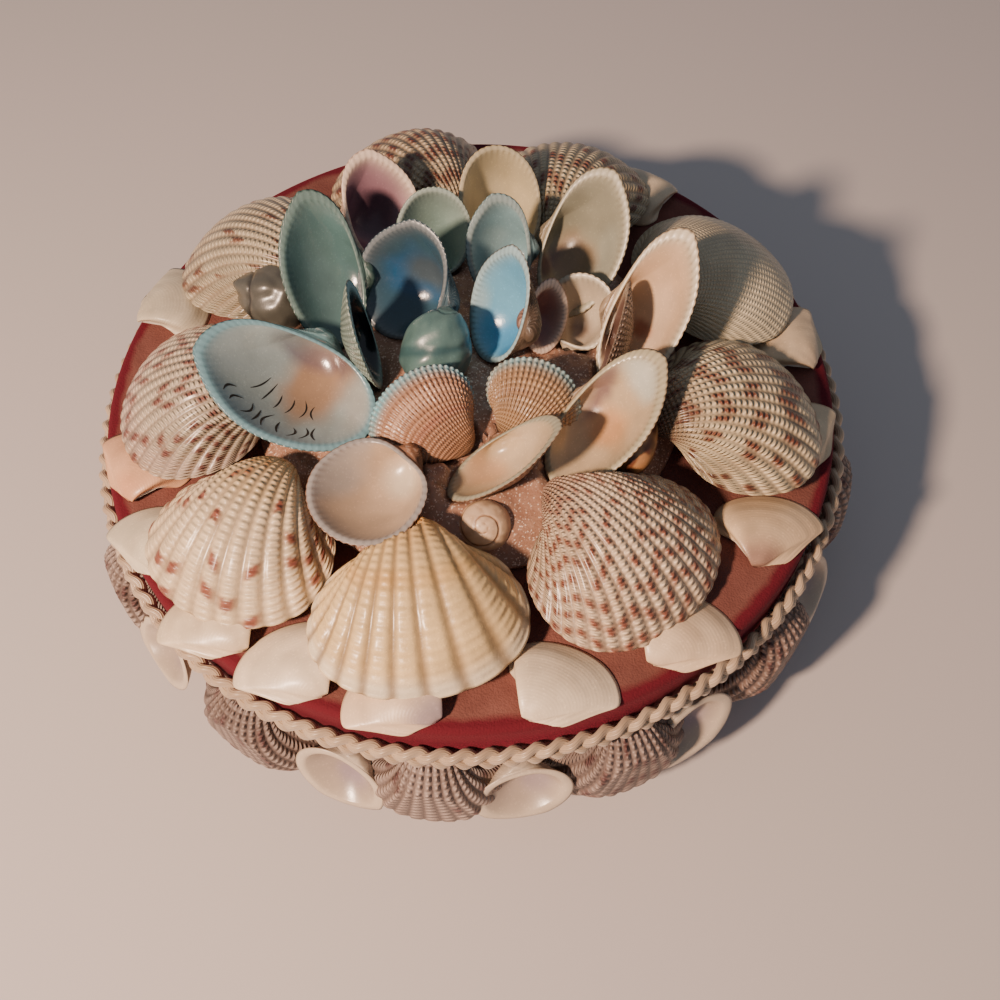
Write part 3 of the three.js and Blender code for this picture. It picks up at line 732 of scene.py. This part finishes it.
# The flower: name, form, middle of the rim from the middle of the lid's top, length and height, all in
# hundredths of the glue's radius; aim, lean, roll, turn, hand, material, slot, look
FLOWER = [
    ("inscribed", "ark", (-71, -26, 36), 83, 53, 165, 20, 165, -90, -1, DYED, "blue_dyed_shell", petal_look(
        54, 0.17, "#64888d", "#48666d", "#97a6a6", "#7da6b0", rim=0.04,
        patches=((0.1, 0.35, 0.5, 0.45, "#9a7450", 0.85), (0.75, 0.5, 0.4, 0.5, "#a09e96", 0.7),
                 (0.0, 0.12, 0.75, 0.1, "#544356", 0.6)))),
    ("cup", "cockle", (-43, -74, 30), 53, 49, 225, -6, 180, 0, 1, SMOOTH, "pink_shell", petal_look(
        38, 0.21, "#8b6247", "#593d2e", "#c2a98e", "#a39d98",
        patches=((0.1, 0.15, 0.5, 0.25, "#d6cbb4", 0.8), (-0.7, 0.6, 0.4, 0.6, "#9a9b9b", 0.6)))),
    ("small", "ark", (10, -62, 28), 60, 36, 8, 34, 162, 90, 1, SMOOTH, "pink_shell", petal_look(
        41, 0.17, "#856149", "#553d2e", "#bfa988", "#a8a58e",
        patches=((0.2, 0.4, 0.7, 0.5, "#cfbb9d", 0.8), (-0.3, 0.3, 0.4, 0.3, "#c48f66", 0.5)))),
    ("streaked", "ark", (54, -50, 32), 72, 40, 34, 34, 180, 90, 1, SMOOTH, "pink_shell", petal_look(
        48, 0.20, "#998267", "#66503d", "#cab28f", "#b6ac8d",
        patches=((0.1, 0.45, 0.35, 0.4, "#ce9563", 0.75), (0.35, 0.14, 0.6, 0.12, "#654557", 0.7),
                 (0.9, 0.5, 0.35, 0.5, "#cfd6ca", 0.8)))),
    ("pink", "ark", (77, -1, 40), 79, 38, 48, 46, 180, 90, 1, SMOOTH, "pink_shell", petal_look(
        41, 0.27, "#b7a083", "#7b654f", "#d6b491", "#d9ccaf",
        patches=((0.0, 0.5, 0.7, 0.35, "#e2c6a8", 0.6), (-0.05, 0.42, 0.16, 0.2, "#a04a34", 0.65),
                 (-0.4, 0.16, 0.35, 0.16, "#5d3f48", 0.7)))),
    ("white", "ark", (52, 41, 42), 70, 42, 52, 48, 180, 90, 1, SMOOTH, "white_shell", petal_look(
        44, 0.15, "#94876e", "#665946", "#918f7c", "#b7b29a",
        patches=((0.1, 0.75, 0.7, 0.3, "#a4a695", 0.7), (-0.1, 0.35, 0.5, 0.4, "#957351", 0.6),
                 (-0.45, 0.12, 0.5, 0.14, "#604552", 0.75)))),
    ("green", "ark", (-62, 28, 43), 72, 38, 108, 48, 180, -90, -1, DYED, "green_dyed_shell", petal_look(
        41, 0.17, "#556f68", "#374b46", "#527171", "#6e8782",
        patches=((0.0, 0.5, 0.8, 0.3, "#627c7b", 0.6), (0.2, 0.15, 0.6, 0.15, "#41595c", 0.5)))),
    ("purple", "ark", (-38, 72, 38), 57, 38, 105, 50, 180, 90, 1, SMOOTH, "purple_shell", petal_look(
        38, 0.21, "#c6aa95", "#735b50", "#94707c", "#f0d9c3",
        patches=((0.15, 0.4, 0.6, 0.4, "#5f4450", 0.85), (-0.75, 0.6, 0.45, 0.6, "#d9c4bb", 0.8)))),
    ("cream", "venus", (19.5, 79, 40), 43, 55, 112, 52, 180, 0, 1, SMOOTH, "cream_shell", petal_look(
        38, 0.14, "#b8a57c", "#806e4e", "#c7b994", "#d0c3a1",
        patches=((0.1, 0.5, 0.5, 0.4, "#d2c7a7", 0.6),))),
    ("front_left", "ark", (-17, -36, 31), 55, 42, 100, 64, 0, 40, -1, RIBBED, "brown_shell", {
        "ribs": 48, "depth": 0.22, "bead": 1.3, "base": "#bb8d6d", "groove": "#875643", "groove_shade_share": 0.5,
        "rows": 56,
        "coarse": 0.3, "beaded": 0.45,
        "bands": ((0.98, 0.05, "#84d1df", 0.9), (0.62, 0.03, "#a36753", 0.6), (0.8, 0.02, "#f9cba8", 0.6)),
        "inside": "#95d9e9", "edge": "#9be0ef"}),
    ("front_right", "ark", (26, -30, 33), 46, 35, 93, 64, 0, -35, 1, RIBBED, "brown_shell", {
        "ribs": 38, "depth": 0.26, "bead": 1.3, "base": "#bc9873", "groove": "#866549", "groove_shade_share": 0.5,
        "rows": 56,
        "coarse": 0.25, "beaded": 0.45,
        "bands": ((0.98, 0.06, "#92d0d9", 0.8), (0.7, 0.04, "#9f7156", 0.5)), "inside": "#a4d4d9",
        "edge": "#a4d4d9"}),
    ("dark_blue", "ark", (-29, 25, 40), 57, 46, 62, 58, 180, -90, -1, DYED, "blue_dyed_shell", petal_look(
        48, 0.15, "#465e6a", "#283d48", "#334f5c", "#71797d",
        patches=((0.0, 0.6, 0.9, 0.55, "#325467", 0.7), (-0.25, 0.42, 0.62, 0.42, "#1c5684", 0.85),
                 (-0.35, 0.36, 0.5, 0.34, "#4a575e", 0.95)))),
    ("bright_blue", "ark", (14, 8, 41), 56, 38, 60, 60, 155, -90, -1, DYED, "blue_dyed_shell", petal_look(
        41, 0.17, "#6e5c4b", "#473a30", "#66aace", "#a3c3ca",
        patches=((-0.3, 0.6, 0.5, 0.5, "#71b1d0", 0.7), (0.4, 0.35, 0.4, 0.5, "#3a8dc4", 0.6),
                 (0.0, 0.95, 0.6, 0.2, "#a5c2c5", 0.7)))),
    # its inside is near black: painted shade in the hollow, which is seen from the side
    ("ribbed", "ark", (-43, -4, 39), 51, 32, 120, 64, 240, -90, -1, DYED, "green_dyed_shell", {
        "ribs": 35, "depth": 0.24, "bead": 1.0, "base": "#8d9f93", "groove": "#475652", "inside": "#1e2426",
        "edge": "#9fbab6"}),
    ("pale_blue", "ark", (17, 43, 41), 50, 32, 102, 60, 180, -90, -1, DYED, "blue_dyed_shell", petal_look(
        38, 0.15, "#6f8e94", "#48666d", "#7ea0a7", "#9fb2b1",
        patches=((0.3, 0.5, 0.4, 0.4, "#537683", 0.6), (-0.3, 0.6, 0.4, 0.4, "#96b2b5", 0.6)))),
    ("mint", "venus", (-13, 62, 38), 38, 45, 92, 60, 180, 0, 1, DYED, "green_dyed_shell", petal_look(
        41, 0.17, "#7e948b", "#556961", "#90a9a1", "#a5b5ac",
        patches=((0.0, 0.4, 0.5, 0.4, "#6d8a85", 0.5),))),
    ("fan", "fan", (52, 15.5, 32.5), 35, 36, 60, 50, 180, 0, 1, SMOOTH, "white_shell", petal_look(
        28, 0.21, "#b8a98f", "#7b6d5b", "#c4b59d", "#d3c9b2",
        patches=((0.0, 0.25, 0.5, 0.2, "#63473d", 0.7),))),
    ("dark", "ark", (64, -5, 36), 47, 26, 62, 50, 110, 90, 1, RIBBED, "dark_shell", {
        "ribs": 32, "depth": 0.24, "bead": 1.0, "base": "#866d5c", "groove": "#44352c", "inside": "#624a40",
        "edge": "#9b8674"}),
    ("curled", "ark", (36, 10, 32), 36, 23, 70, 55, 225, 90, 1, SMOOTH, "pink_shell", petal_look(
        32, 0.17, "#ac806c", "#665045", "#855a57", "#f5e0cd")),
]


def flower():
    """The petals, each noted so that the ring and the glue stay under it."""
    for i, row in enumerate(FLOWER):
        name, form, at, length, height, aim, lean, roll, turn, hand, material, slot, look = row
        length, height = length * HUNDREDTH, height * HUNDREDTH
        matrix = pose_matrix(height, flower_point(at), aim=aim, lean=lean, roll=roll, turn=turn)
        look = {"columns": 240, "rows": 18, "inner_rows": 14, "seed": 90 + i, **look}
        valve(f"petal_{name}_skin", form, length, height, SMALL_WALL, matrix, look, material, hand=hand,
              replaced=[f"petal_{name}"], note=True)


flower()


def strokes():
    """Two rows of slanted marker strokes on the inside of the first shell.

    Each follows the inner skin Q(s, size) from a higher to a lower size while s leans over; it is a tube
    flattened to 0.7 mm wide and 0.12 mm proud.
    """
    _, form, at, length, height, aim, lean, roll, turn, hand = FLOWER[0][:10]
    length, height = length * HUNDREDTH, height * HUNDREDTH
    matrix = pose_matrix(height, flower_point(at), aim, lean, roll, turn)
    outline = rim_outline(form, length, height, hand, 720)
    middle = np.array([0, 0.45 * height, 0])

    def on_skin(s, size):
        x, y = (np.interp(s, np.arange(720) / 720, outline[:, axis]) for axis in (0, 1))
        angle = -np.log(size) / FORMS[form][0]
        skin = np.stack([size * x, size * np.cos(angle) * y, size * np.sin(angle) * y], axis=-1)
        return middle + (1 - SMALL_WALL / (0.5 * height)) * (skin - middle)

    t = np.linspace(0, 1, 20)[:, None]
    around = np.linspace(0, 2 * math.pi, 8, endpoint=False)[None]
    thin = np.sqrt(np.sin(math.pi * np.clip(t, 0.03, 0.97)))
    rng = np.random.default_rng(5)
    # for each row: its top and height as shares of growth, and where its strokes stand along the rim
    lines = ((0.94, 0.16, np.linspace(0.41, 0.66, 9)), (0.74, 0.18, np.linspace(0.42, 0.63, 6)))
    for row_top, tall, places in lines:
        for place in places:
            slant, bow = rng.uniform(-0.022, 0.006), rng.uniform(-0.014, 0.014)
            s = place + slant * (t - 0.5) + bow * np.sin(math.pi * t)
            size = row_top - tall * rng.uniform(0.6, 1.0) * t
            along = on_skin(s, size + 0.01) - on_skin(s, size - 0.01)
            across = on_skin(s + 0.004, size) - on_skin(s - 0.004, size)
            up = np.cross(along, across)
            up = up / np.linalg.norm(up, axis=-1, keepdims=True)
            up = np.where(up[..., 2:] > 0, -up, up)
            path = on_skin(s + 0.0034 * thin * np.cos(around), size + 0 * around)
            points = path + up * (0.12 * MM * thin * np.sin(around))[..., None]
            name = f"marker_stroke_{len(bpy.data.objects)}"
            closed_grid(name, placed(points, matrix), np.zeros((20, 9, 2)), {}, INK)


strokes()

# The ring on the lid: azimuth, how far out past the inset, swing, length and height in hundredths of the room
# along the ring, form, and look
RING = [
    (-10, 1, 15, 109, 78, "fan", {
        "ribs": 14, "round": 0.3, "depth": 0.62, "beaded": 0.3, "calm": 0.85, "bead": 2.0, "coarse": 0.25,
        "base": "#f9d699",
        "groove": "#886a48", "groove_shade_share": 0.75,
        "bands": ((0.55, 0.05, "#d9a860", 0.7), (0.97, 0.05, "#efe6cf", 0.7)),
        "umbo": "#e0a151", "stain": 0.15, "fine_left": 0.3}),
    (33, -8, 14, 104, 83, "cockle", {
        "ribs": 32, "depth": 0.46, "bead": 1.4, "base": "#f3d9b6", "groove": "#ab8468", "spot": "#94503c",
        "spots": 0.8,
        "spot_rows": 11, "zigzag": 0.7, "umbo": "#b38c77"}),
    (77, -2, 28, 104, 83, "cockle", {
        "ribs": 28, "depth": 0.5, "bead": 1.5, "base": "#f7e2b8", "groove": "#785a42", "spot": "#83402a",
        "spots": 0.51,
        "spot_rows": 6, "umbo": "#7b574b"}),
    (115, 5, 6, 107, 87, "venus", {
        "ribs": 52, "depth": 0.14, "bead": 1.0, "beaded": 0.5, "base": "#e6d8b6", "groove": "#a08c72",
        "umbo": "#d4c09f"}),
    (156, 2, 10, 100, 83, "cockle", {
        "ribs": 25, "depth": 0.5, "bead": 1.6, "base": "#d8c6a0", "groove": "#775840", "spot": "#81402a",
        "spots": 0.65,
        "spot_rows": 7}),
    (-167, 6, 22, 100, 85, "cockle", {
        "ribs": 25, "depth": 0.55, "bead": 1.6, "base": "#d2bc98", "groove": "#6c4935", "spot": "#733422",
        "spots": 0.87,
        "spot_rows": 8}),
    (-127, 2, 0, 102, 87, "cockle", {
        "ribs": 26, "depth": 0.5, "bead": 1.5, "base": "#d0c1a2", "groove": "#927458", "spot": "#7d4c38",
        "spots": 0.42,
        "spot_rows": 7, "zigzag": 1.3}),
    (-85, -2, -8, 104, 85, "cockle", {
        "ribs": 30, "depth": 0.4, "bead": 1.3, "base": "#dac9ad", "groove": "#8e705a", "spot": "#82483e",
        "spots": 0.5,
        "spot_rows": 9, "zigzag": 0.9, "bands": ((0.93, 0.08, "#d3b3a3", 0.7),)}),
    (-47, 7, 22, 97, 78, "cockle", {
        "ribs": 18, "round": 0.4, "depth": 0.6, "bead": 1.7, "beaded": 0.6, "coarse": 0.12, "base": "#f3dab2",
        "groove": "#aa8b68", "groove_shade_share": 0.4, "spot": "#8a4534", "spots": 0.5, "spot_rows": 9,
        "zigzag": 0.8,
        "umbo": "#e4b269", "bands": ((0.45, 0.06, "#d9bb84", 0.5),), "stain": 0.1}),
]


def ring_of_shells():
    """The ring on the clams, sloping outwards; a shell is pressed down where a petal stands over it."""
    pitch = 2 * math.pi * (LID_RADIUS - RING_INSET) / len(RING)
    for i, (azimuth, out, swing, length, height, form, look) in enumerate(RING):
        length, height = length / 100 * pitch, height / 100 * pitch
        middle = LID_TOP + CLAM_RISE + TOUCH_GAP + 0.5 * height * math.sin(math.radians(RING_SLOPE))
        centre = on_circle(LID_RADIUS - RING_INSET + out / 100 * pitch, azimuth, middle)
        matrix = pose_matrix(height, centre, aim=azimuth - 90 + swing, lean=-RING_SLOPE)
        look = {"columns": 216, "rows": 70, "inner_rows": 4, "seed": 20 + i, **look}
        valve(f"ring_shell_{i + 1}_skin", form, length, height, SHELL_WALL, matrix, look, RIBBED,
              replaced=[f"ring_shell_{i + 1}"], press=True)


ring_of_shells()


def glue_mound():
    """A lumpy mound: the solid's profile over the radius, raised by up to 1 mm of noise."""
    rows, columns = 76, 150
    radius = np.linspace(0.01, 1, rows)[:, None] * GLUE_RADIUS
    angle = np.linspace(0, 2 * math.pi, columns, endpoint=False)[None]
    share = radius / GLUE_RADIUS
    top = glue_high.z - LID_TOP
    height = np.interp(share.ravel(), [0, 0.7, 0.9, 1.0], [top, 0.85 * top, 0.5 * top, 1.2 * MM])[:, None]
    x, y = radius * np.cos(angle), radius * np.sin(angle)
    rough = noise(x / (5 * MM) + 20, y / (5 * MM) + 20, 3)
    rough = rough + 0.4 * noise(x / (1.6 * MM) + 40, y / (1.6 * MM) + 40, 4)
    z = LID_TOP + 0.3 * MM + height * (0.82 + 0.16 * rough / 1.4) + 0 * x
    top_skin = np.stack([x, y, z], axis=2)
    foot = np.stack([x[::-1], y[::-1], np.full_like(x, LID_TOP + 0.2 * MM)], axis=2)
    points = np.concatenate([foot[-1:], foot[:1], press_under(top_skin[::-1])])
    uv = np.zeros((len(points), columns + 1, 2))
    closed_grid("glue_mound", points, uv, {}, GLUE, ["glue_bed"])


glue_mound()


# Cockles round the side, and a small clam by each joint
SIDE_AZIMUTHS = [-6.5, 21.5, 50, 79, 109, 139, 169, 200, 231, 262, 293.5, 325]
SIDE_JOINTS = [6.3, 31, 61, 90.5, 120.5, 150.5, 181, 212, 243, 274.5, 307, 340]
SIDE_TURNS = [-14, -12, 10, 22, -10, 12, -8, 14, -12, 10, -14, 28]
SIDE_FOOT_GAP = 2 * MM
SIDE_HEAD_GAP = 0.8 * MM
SIDE_JOINT_GAP = 2.4 * MM
SIDE_GLUE = 0.8 * MM
BEAK_SHARE = 0.1
SIDE_CLAM_LENGTH = 21.5 * MM
SIDE_CLAM_WIDTH = 14.5 * MM
SIDE_CLAM_STAND = 8.9 * MM
SIDE_CLAM_SLOPE = 66  # degrees
side_room = min(braid_low.z, lid_low.z) - SIDE_HEAD_GAP - SIDE_FOOT_GAP
side_height = side_room / (1 + BEAK_SHARE)
side_length = 2 * math.pi * TRAY_RADIUS / len(SIDE_AZIMUTHS) - SIDE_JOINT_GAP


def side_shells():
    """Each cockle hangs by its beak from below the lid, and a small clam leans over the joint beside it."""
    bases = ["#bba497", "#ae978b", "#a58b7e", "#ae988b", "#b5a093", "#a58f83"]
    for i, (azimuth, joint) in enumerate(zip(SIDE_AZIMUTHS, SIDE_JOINTS)):
        centre = on_circle(TRAY_RADIUS + SIDE_GLUE, azimuth, SIDE_FOOT_GAP + 0.5 * side_height)
        matrix = pose_matrix(side_height, centre, aim=azimuth - 90, lean=-90)
        look = {"ribs": 16 + i % 3, "depth": 0.75, "bead": 2.3, "base": bases[i % 6], "groove": "#604a44",
                "groove_shade_share": 0.85, "spot": "#6a4340", "spots": 0.45, "spot_rows": 6, "zigzag": 0.7,
                "columns": 144, "rows": 36, "inner_rows": 4, "seed": 130 + i}
        cockle = [f"side_cockle_{i + 1}"]
        valve(f"side_cockle_{i + 1}_skin", "bold", side_length, side_height, SHELL_WALL, matrix, look, SIDE,
              replaced=cockle)
        centre = on_circle(TRAY_RADIUS + SIDE_CLAM_STAND, joint, SIDE_FOOT_GAP + 0.7 * side_height)
        matrix = pose_matrix(SIDE_CLAM_WIDTH, centre, aim=joint + 90, lean=SIDE_CLAM_SLOPE, roll=180,
                             turn=180 + SIDE_TURNS[i])
        look = {"ribs": 0, "depth": 0.0, "beaded": 0.2, "base": "#c9b9a4", "inside": "#a39284",
                "edge": "#d0bea6", "rim": 0.16, "columns": 64, "rows": 12, "inner_rows": 14, "seed": 160 + i,
                "patches": ((0.2, 0.5, 0.45, 0.3, "#8f7f93", 0.45 + 0.2 * (i % 2)),
                            (0.0, 0.06, 0.8, 0.14, "#d9a081", 0.7))}
        valve(f"side_clam_{i + 1}_skin", "venus", SIDE_CLAM_LENGTH, SIDE_CLAM_WIDTH, SHELL_WALL, matrix, look,
              SMOOTH, hand=1 if i % 2 else -1, replaced=cockle, curl=1.6)


side_shells()


def plain_skin(name, points, tone, material):
    """A closed skin without beads, in these tones, in place of the solid of the same name."""
    rows, columns = points.shape[:2]
    blank = np.zeros((rows, columns))
    layers = {"tint": tone, "relief": blank, "inside": blank}
    closed_grid(f"{name}_skin", points, np.zeros((rows, columns + 1, 2)), layers, material, [name])


def snail(name, centre, size, tall, slope, whorl, groove, aim, lean, roll, lumps, tint, dark, material, slot):
    """A round snail shell: a turned egg about local y with a seam that winds round its top.

    At the polar angle p from the top and the angle q round the axis, the seam runs where
    ln(p / pi) / whorl - q / (2 pi) is a whole number. The skin is drawn in there by the share groove of its
    radius, which is also narrowed by slope * cos p towards the top and varied by lumps of noise.
    """
    rows, columns = 72, 96
    p = np.linspace(0.02, math.pi - 0.02, rows)[:, None]
    q = np.linspace(0, 2 * math.pi, columns, endpoint=False)[None]
    phase = np.log(p / math.pi) / whorl - q / (2 * math.pi)
    away = np.abs((phase + 0.5) % 1 - 0.5)
    seam = np.exp(-(away / 0.055) ** 2) * smooth(0.05, 0.3, p) * smooth(2.5, 1.9, p)
    x, y, z = np.sin(p) * np.cos(q), np.cos(p) + 0 * q, np.sin(p) * np.sin(q)
    rough = noise(20 + 2.5 * x + 1.3 * y, 20 + 2.5 * z - 1.7 * y, 5)
    radius = 0.5 * size * (1 - groove * seam + lumps * (rough - 0.5))
    narrow = 1 - slope * np.cos(p)
    points = np.stack([radius * narrow * x, tall * radius * y, radius * narrow * z], axis=2)
    matrix = pose_matrix(0, centre, aim=aim, lean=lean, roll=roll)
    mottle = noise(30 + 6 * x, 30 + 6 * z + 4 * y, 6)
    skin = np.broadcast_to(linear(tint), (rows, columns, 3))
    tone = blend(skin, linear(dark), np.clip(0.85 * seam + 0.5 * mottle, 0, 1))
    plain_skin(name, placed(points, matrix), tone, material)


# Snails: name, middle in hundredths of the glue's radius, width in millimetres, tall, slope, whorl, groove,
# aim, lean, roll, lumps, tint, tint of the seam, material, slot
SNAILS = [
    ("snail_centre", (-13, -5, 36), 14.6, 1.2, 0.12, 1.5, 0.03, 54, 48, 110, 0.1, "#617f7b", "#3d5b5d",
     DYED, "green_dyed_shell"),
    ("snail_grey", (-93, 44, 20), 15.5, 1.1, 0.3, 1.0, 0.05, 165, 15, 200, 0.16, "#5d5d55", "#393732",
     DYED, "dark_shell"),
    ("snail_beige", (6, -84, 14), 10.4, 0.85, 0.05, 1.25, 0.06, 262, 55, 90, 0.04, "#e4c6a4", "#8d6344",
     SMOOTH, "cream_shell"),
]


def spires():
    """The snails, and a cone whose radius at t along it is half its width * sin(pi t^0.62)^0.8."""
    for name, at, width, *rest in SNAILS:
        snail(name, flower_point(at), width * MM, *rest)
    rows, columns = 60, 40
    t = np.linspace(0.001, 0.999, rows)[:, None]
    b = np.linspace(0, 2 * math.pi, columns, endpoint=False)[None]
    length, width = 34 * HUNDREDTH, 17 * HUNDREDTH
    radius = 0.5 * width * np.sin(math.pi * t ** 0.62) ** 0.8
    points = np.stack([radius * np.cos(b), length * (t - 0.5) + 0 * b, -radius * np.sin(b)], axis=2)
    matrix = pose_matrix(0, flower_point((74, -49, 23)), aim=62, lean=12)
    mottle = noise(t * 9 + 0 * b, b * 2 + 0 * t, 7)
    skin = np.broadcast_to(linear("#6f3f26"), (rows, columns, 3))
    tone = blend(skin, linear("#c08a58"), smooth(0.3, 0.7, mottle))
    tone = blend(tone, linear("#cfc3b4"), smooth(0.85, 0.97, t) + 0 * b)
    plain_skin("cone_orange", placed(points, matrix), tone, SMOOTH)


spires()


def stage():
    """A pale table, a warm key light from the front left and a soft fill."""
    bpy.ops.mesh.primitive_plane_add(size=3, location=(0, 0, 0))
    floor = bpy.context.object
    floor.name = "floor"
    floor.data.materials.append(plain_material("pale_table", "#cfc6c2", 0.7))
    key = bpy.data.lights.new("key", "AREA")
    key.shape = "DISK"
    key.size = 0.06
    key.energy = 7.7
    key.color = tuple(linear("#ffdbc0"))
    lamp = bpy.data.objects.new("key", key)
    travel = Vector((0.695, 0.719, -math.tan(math.radians(40)))).normalized()
    lamp.location = Vector((0, 0, 0.04)) - 0.65 * travel
    lamp.rotation_euler = travel.to_track_quat("-Z", "Y").to_euler()
    bpy.context.collection.objects.link(lamp)
    world = bpy.data.worlds.new("room")
    world.use_nodes = True
    world.node_tree.nodes["Background"].inputs["Color"].default_value = (*linear("#d2dcee"), 1)
    world.node_tree.nodes["Background"].inputs["Strength"].default_value = 0.26
    bpy.context.scene.world = world


stage()


def make_camera():
    """The photograph's camera: it aims at a point of the lid's top plane."""
    rise = math.radians(58.5)
    roll = math.radians(-2.0)
    target = Vector((5.93 * MM, -29.65 * MM, 46 * MM))
    distance = 229.2  # in millimetres
    back = Vector((0.0, -math.cos(rise), math.sin(rise)))
    right = Vector((1.0, 0.0, 0.0))
    up = right.cross(-back)
    turned_right = right * math.cos(roll) + up * math.sin(roll)
    turned_up = up * math.cos(roll) - right * math.sin(roll)
    camera = bpy.data.objects.new("camera", bpy.data.cameras.new("camera"))
    camera.data.sensor_width = 36.0
    camera.data.lens = 39.6
    axes = Matrix((turned_right, turned_up, back)).transposed().to_4x4()
    camera.matrix_world = Matrix.Translation(target + back * distance * MM) @ axes
    bpy.context.collection.objects.link(camera)
    bpy.context.scene.camera = camera


make_camera()
